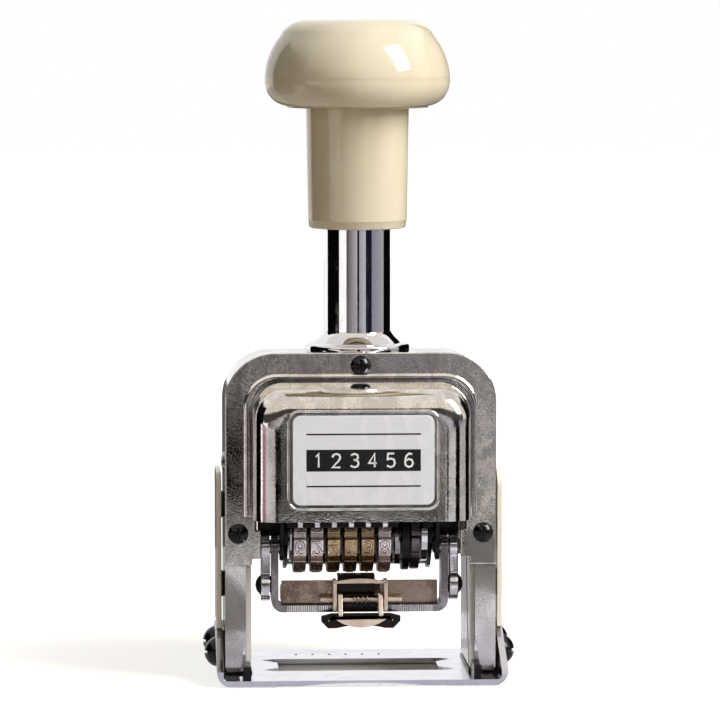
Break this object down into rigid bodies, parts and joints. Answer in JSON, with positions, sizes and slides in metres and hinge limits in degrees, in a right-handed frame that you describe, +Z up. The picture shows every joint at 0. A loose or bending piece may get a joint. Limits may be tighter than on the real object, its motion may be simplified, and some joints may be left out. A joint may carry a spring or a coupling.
{
  "type": "automatic numbering machine",
  "caption": "Hand stamp with ivory mushroom handle, plated frame and covers, turning number wheels and a swinging ink-pad carrier over a windowed base.",
  "frame": {"origin": "centre of the footprint, under the plunger axis, on the plane the base stands on", "axes": "+Z up along the plunger, front with the label towards -Y, +X to the right of someone facing the front"},
  "size_m": [0.0696, 0.0508, 0.147],
  "materials": {
    "cream": "glossy, ivory coloured",
    "chrome": "bright chromium plate",
    "nickel": "darker bright plate over a mottled casting or pressing",
    "black_steel": "black, satin to glossy",
    "type_metal": "plated type metal, half bright",
    "bronze_plate": "dull brownish plate",
    "steel": "bare turned steel",
    "rubber": "matt",
    "label": "pale grey satin"
  },
  "bodies": {
    "frame": {"base_plate": "chrome", "base_shoe_left": "black_steel", "base_shoe_right": "black_steel", "base_screws": "black_steel", "frame_casting": "nickel", "guide_tube": "chrome", "guide_collar": "chrome", "guide_bush": "steel", "front_cover": "nickel", "back_cover": "nickel", "label_plate": "label", "front_cover_screws": "black_steel", "back_cover_screws": "black_steel", "inner_guide_left": "cream", "inner_guide_right": "cream", "side_cover_left": "cream", "side_cover_right": "cream", "side_rivets": "black_steel", "lock_bush": "chrome"},
    "lock": {"lock_button": "black_steel"},
    "plunger": {"knob": "cream", "handle_sleeve": "cream", "plunger_rod": "steel", "rod_nut": "steel", "stop_washer": "rubber", "return_spring": "steel", "yoke": "black_steel", "wheel_shaft": "steel", "shaft_bush_left": "steel", "shaft_bush_right": "steel", "feed_cam": "black_steel", "detent_comb": "black_steel", "detent_fingers": "chrome", "pad_pivot_pins": "chrome"},
    "wheel_1": {"number_wheel_1": "type_metal"},
    "wheel_2": {"number_wheel_2": "type_metal"},
    "wheel_3": {"number_wheel_3": "type_metal"},
    "wheel_4": {"number_wheel_4": "type_metal"},
    "wheel_5": {"number_wheel_5": "type_metal"},
    "wheel_6": {"number_wheel_6": "type_metal", "unit_ratchet": "steel"},
    "selector": {"selector_disc": "black_steel"},
    "pawl_frame": {"pawl_plate_left": "black_steel", "pawl_plate_right": "black_steel", "pawl_tie_rod": "chrome", "pawl_pivot_rod": "steel"},
    "pawl": {"feed_pawl": "black_steel"},
    "pad_carrier": {"pad_arm_left": "chrome", "pad_arm_right": "chrome", "pad_joint_screws": "black_steel", "pad_bail": "chrome", "pad_tray": "bronze_plate", "clip_box": "bronze_plate", "latch_pin": "chrome", "latch_spring": "steel"},
    "latch": {"thumb_latch": "bronze_plate"}
  },
  "joints": [
    {"name": "plunger_slide", "type": "slide", "parent": "frame", "child": "plunger", "axis": [0, 0, -1], "range_m": [0, 0.0226], "stiffness_N_per_m": 600, "springref_m": -0.02, "deforming": ["return_spring"]},
    {"name": "pad_swing", "type": "hinge", "parent": "plunger", "child": "pad_carrier", "pos_m": [0, -0.007, 0.0294], "axis": [-1, 0, 0], "range_deg": [0, 120]},
    {"name": "latch_pivot", "type": "hinge", "parent": "pad_carrier", "child": "latch", "pos_m": [0, -0.0113, 0.0179], "axis": [1, 0, 0], "range_deg": [0, 8], "stiffness_Nm_per_rad": 0.02, "springref_deg": -17.19},
    {"name": "wheel_1_turn", "type": "hinge", "parent": "plunger", "child": "wheel_1", "pos_m": [0, 0, 0.0319], "axis": [1, 0, 0], "continuous": true},
    {"name": "wheel_2_turn", "type": "hinge", "parent": "plunger", "child": "wheel_2", "pos_m": [0, 0, 0.0319], "axis": [1, 0, 0], "continuous": true},
    {"name": "wheel_3_turn", "type": "hinge", "parent": "plunger", "child": "wheel_3", "pos_m": [0, 0, 0.0319], "axis": [1, 0, 0], "continuous": true},
    {"name": "wheel_4_turn", "type": "hinge", "parent": "plunger", "child": "wheel_4", "pos_m": [0, 0, 0.0319], "axis": [1, 0, 0], "continuous": true},
    {"name": "wheel_5_turn", "type": "hinge", "parent": "plunger", "child": "wheel_5", "pos_m": [0, 0, 0.0319], "axis": [1, 0, 0], "continuous": true},
    {"name": "wheel_6_turn", "type": "hinge", "parent": "plunger", "child": "wheel_6", "pos_m": [0, 0, 0.0319], "axis": [1, 0, 0], "continuous": true},
    {"name": "selector_turn", "type": "hinge", "parent": "plunger", "child": "selector", "pos_m": [0, 0, 0.0319], "axis": [1, 0, 0], "range_deg": [0, 90]},
    {"name": "pawl_swing", "type": "hinge", "parent": "plunger", "child": "pawl_frame", "pos_m": [0, 0, 0.0319], "axis": [1, 0, 0], "range_deg": [0, 38]},
    {"name": "pawl_tilt", "type": "hinge", "parent": "pawl_frame", "child": "pawl", "pos_m": [0, 0.012, 0.0336], "axis": [1, 0, 0], "range_deg": [0, 8], "stiffness_Nm_per_rad": 0.01, "springref_deg": -17.19},
    {"name": "lock_slide", "type": "slide", "parent": "frame", "child": "lock", "axis": [0, -1, 0], "range_m": [0, 0.0024], "stiffness_N_per_m": 300, "springref_m": -0.001}
  ],
  "couplings": [
    {"joint": "pad_swing", "follows": "plunger_slide", "rad_per_m": 92.67},
    {"joint": "pawl_swing", "follows": "plunger_slide", "rad_per_m": 29.34}
  ]
}
